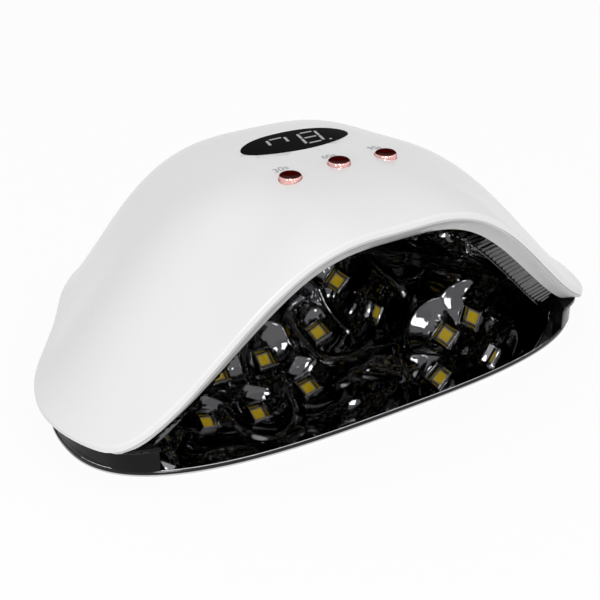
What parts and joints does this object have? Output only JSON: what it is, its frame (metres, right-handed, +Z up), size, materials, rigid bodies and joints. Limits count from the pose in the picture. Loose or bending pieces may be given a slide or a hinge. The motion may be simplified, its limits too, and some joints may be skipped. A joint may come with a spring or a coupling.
{
  "type": "uv curing lamp",
  "caption": "Bell-shaped desk lamp that cures nail gel or small resin parts with ultraviolet LEDs, on a removable mirror base plate, with timer buttons and a display.",
  "frame": {"origin": "centre of the footprint on the table", "axes": "+X to the lamp's right seen from the front, -Y towards the hand opening, +Z up"},
  "size_m": [0.2254, 0.1573, 0.0838],
  "materials": {
    "plate_steel": "polished steel sheet",
    "dark_mirror": "dark mirror",
    "foot_rubber": "matt black rubber",
    "frame_black": "gloss black",
    "magnet_nickel": "nickel plated",
    "screw_steel": "zinc plated",
    "shell_white": "gloss white",
    "window_black": "gloss black, smoked",
    "bezel_white": "satin white",
    "black_chrome": "black vacuum metallised",
    "led_white": "white package",
    "led_yellow": "yellow phosphor gel",
    "board_aluminium": "bare board",
    "sensor_black": "smoked black lens",
    "board_green": "green solder mask",
    "display_black": "black display block",
    "switch_black": "black switch body",
    "chip_black": "moulded chip",
    "jack_black": "black socket",
    "rose_metal": "gloss rose gold"
  },
  "bodies": {
    "base": {"base_plate": "plate_steel", "mirror_sheet": "dark_mirror", "plate_feet": "foot_rubber"},
    "housing": {"lower_frame": "frame_black", "magnets": "magnet_nickel", "frame_screws": "screw_steel", "top_shell": "shell_white", "display_window": "window_black", "arch_bezel": "bezel_white", "ribbed_trim": "black_chrome", "reflector": "black_chrome", "led_packages": "led_white", "led_phosphors": "led_yellow", "led_carriers": "board_aluminium", "hand_sensor": "sensor_black", "control_board": "board_green", "display_module": "display_black", "tact_switches": "switch_black", "board_parts": "chip_black", "board_screws": "screw_steel", "dc_jack": "jack_black", "jack_pin": "screw_steel"},
    "key_30": {"button_30": "rose_metal", "plunger_30": "switch_black"},
    "key_60": {"button_60": "rose_metal", "plunger_60": "switch_black"},
    "key_90": {"button_90": "rose_metal", "plunger_90": "switch_black"}
  },
  "joints": [
    {"name": "lamp_lift", "type": "slide", "parent": "base", "child": "housing", "axis": [0, 0, 1], "range_m": [0, 0.12]},
    {"name": "press_30", "type": "slide", "parent": "housing", "child": "key_30", "axis": [0, 0, -1], "range_m": [0, 0.0006], "stiffness_N_per_m": 2500},
    {"name": "press_60", "type": "slide", "parent": "housing", "child": "key_60", "axis": [0, 0, -1], "range_m": [0, 0.0006], "stiffness_N_per_m": 2500},
    {"name": "press_90", "type": "slide", "parent": "housing", "child": "key_90", "axis": [0, 0, -1], "range_m": [0, 0.0006], "stiffness_N_per_m": 2500}
  ]
}
